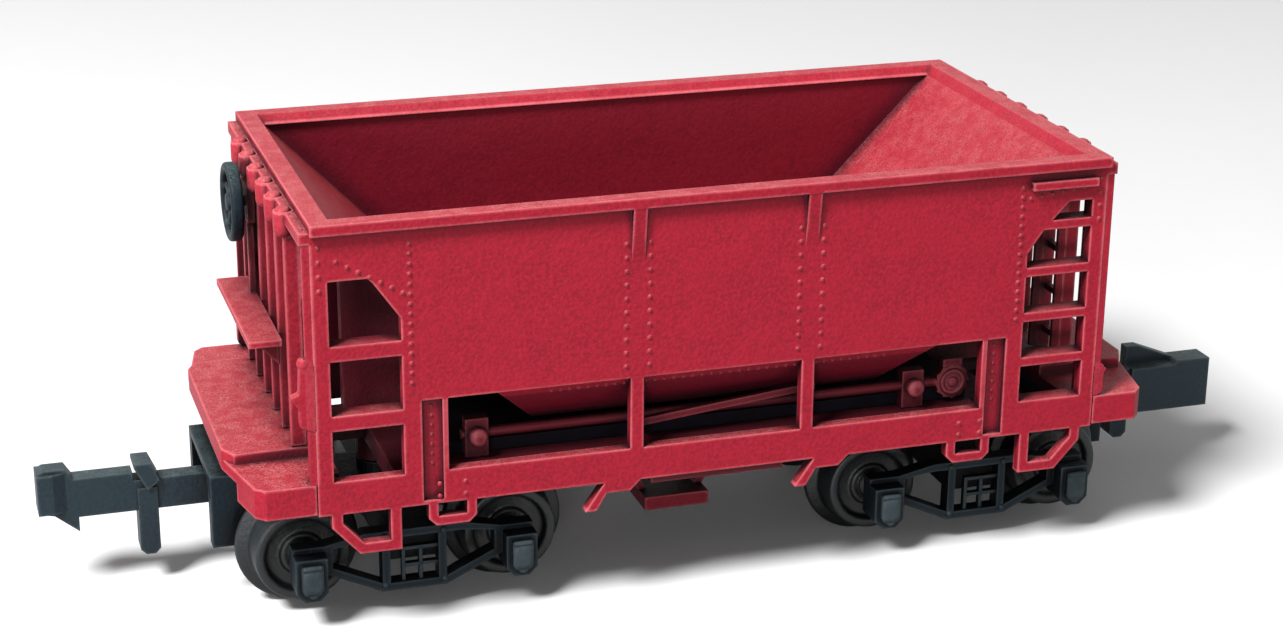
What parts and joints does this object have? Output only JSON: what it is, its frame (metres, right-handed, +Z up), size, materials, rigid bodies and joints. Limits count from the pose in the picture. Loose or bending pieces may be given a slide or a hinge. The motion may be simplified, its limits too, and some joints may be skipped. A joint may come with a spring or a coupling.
{
  "type": "model railway hopper car",
  "caption": "Small-scale open ore hopper car with ladders, end platforms, a brake wheel, swivelling trucks on flanged wheels and hook couplers.",
  "frame": {"origin": "on the floor under the middle of the car, level with the lowest points of the wheel flanges", "axes": "+Z up; X along the car with the brake wheel at -X; Y across the car"},
  "size_m": [0.062, 0.0198, 0.0203],
  "materials": {
    "body_plastic": "red-oxide moulded plastic, matte with a fine grain",
    "dark_plastic": "blue-black moulded plastic, satin",
    "wheel_plastic": "blue-black moulded plastic, satin, tread worn smoother",
    "bright_steel": "plain turned steel",
    "ballast_metal": "plain rolled steel plate"
  },
  "bodies": {
    "car": {"hopper_body": "body_plastic", "underframe": "body_plastic", "left_end_deck": "body_plastic", "right_end_deck": "body_plastic", "near_side_ledge": "body_plastic", "far_side_ledge": "body_plastic", "outlet": "body_plastic", "near_door_gear": "body_plastic", "far_door_gear": "body_plastic", "brake_platform": "body_plastic", "ballast_plate": "ballast_metal", "left_truck_pin": "dark_plastic", "right_truck_pin": "dark_plastic"},
    "brake_wheel": {"brake_wheel": "dark_plastic"},
    "left_truck": {"left_truck_frame": "dark_plastic", "left_pocket_cover": "dark_plastic"},
    "left_inner_wheelset": {"left_inner_axle": "bright_steel", "left_inner_near_wheel": "wheel_plastic", "left_inner_far_wheel": "wheel_plastic"},
    "left_outer_wheelset": {"left_outer_axle": "bright_steel", "left_outer_near_wheel": "wheel_plastic", "left_outer_far_wheel": "wheel_plastic"},
    "left_coupler_swivel": {"left_coupler_spring": "bright_steel"},
    "left_coupler": {"left_coupler": "dark_plastic"},
    "right_truck": {"right_truck_frame": "dark_plastic", "right_pocket_cover": "dark_plastic"},
    "right_inner_wheelset": {"right_inner_axle": "bright_steel", "right_inner_near_wheel": "wheel_plastic", "right_inner_far_wheel": "wheel_plastic"},
    "right_outer_wheelset": {"right_outer_axle": "bright_steel", "right_outer_near_wheel": "wheel_plastic", "right_outer_far_wheel": "wheel_plastic"},
    "right_coupler_swivel": {"right_coupler_spring": "bright_steel"},
    "right_coupler": {"right_coupler": "dark_plastic"}
  },
  "joints": [
    {"name": "brake_wheel_turn", "type": "hinge", "parent": "car", "child": "brake_wheel", "pos_m": [-0.0206, 0.00235, 0.01795], "axis": [1, 0, 0], "continuous": true},
    {"name": "left_truck_swivel", "type": "hinge", "parent": "car", "child": "left_truck", "pos_m": [-0.01435, 0, 0.0043], "axis": [0, 0, 1], "range_deg": [-12, 12]},
    {"name": "left_inner_wheelset_roll", "type": "hinge", "parent": "left_truck", "child": "left_inner_wheelset", "pos_m": [-0.00935, 0, 0.00295], "axis": [0, 1, 0], "continuous": true},
    {"name": "left_outer_wheelset_roll", "type": "hinge", "parent": "left_truck", "child": "left_outer_wheelset", "pos_m": [-0.01935, 0, 0.00295], "axis": [0, 1, 0], "continuous": true},
    {"name": "left_coupler_swing", "type": "hinge", "parent": "left_truck", "child": "left_coupler_swivel", "pos_m": [-0.02235, 0, 0.00462], "axis": [0, 0, 1], "range_deg": [-12, 12], "stiffness_Nm_per_rad": 0.00002},
    {"name": "left_coupler_lift", "type": "hinge", "parent": "left_coupler_swivel", "child": "left_coupler", "pos_m": [-0.02235, 0, 0.00462], "axis": [0, 1, 0], "range_deg": [0, 10], "stiffness_Nm_per_rad": 0.00002},
    {"name": "right_truck_swivel", "type": "hinge", "parent": "car", "child": "right_truck", "pos_m": [0.01435, 0, 0.0043], "axis": [0, 0, 1], "range_deg": [-12, 12]},
    {"name": "right_inner_wheelset_roll", "type": "hinge", "parent": "right_truck", "child": "right_inner_wheelset", "pos_m": [0.00935, 0, 0.00295], "axis": [0, 1, 0], "continuous": true},
    {"name": "right_outer_wheelset_roll", "type": "hinge", "parent": "right_truck", "child": "right_outer_wheelset", "pos_m": [0.01935, 0, 0.00295], "axis": [0, 1, 0], "continuous": true},
    {"name": "right_coupler_swing", "type": "hinge", "parent": "right_truck", "child": "right_coupler_swivel", "pos_m": [0.02235, 0, 0.00462], "axis": [0, 0, 1], "range_deg": [-12, 12], "stiffness_Nm_per_rad": 0.00002},
    {"name": "right_coupler_lift", "type": "hinge", "parent": "right_coupler_swivel", "child": "right_coupler", "pos_m": [0.02235, 0, 0.00462], "axis": [0, -1, 0], "range_deg": [0, 10], "stiffness_Nm_per_rad": 0.00002}
  ]
}
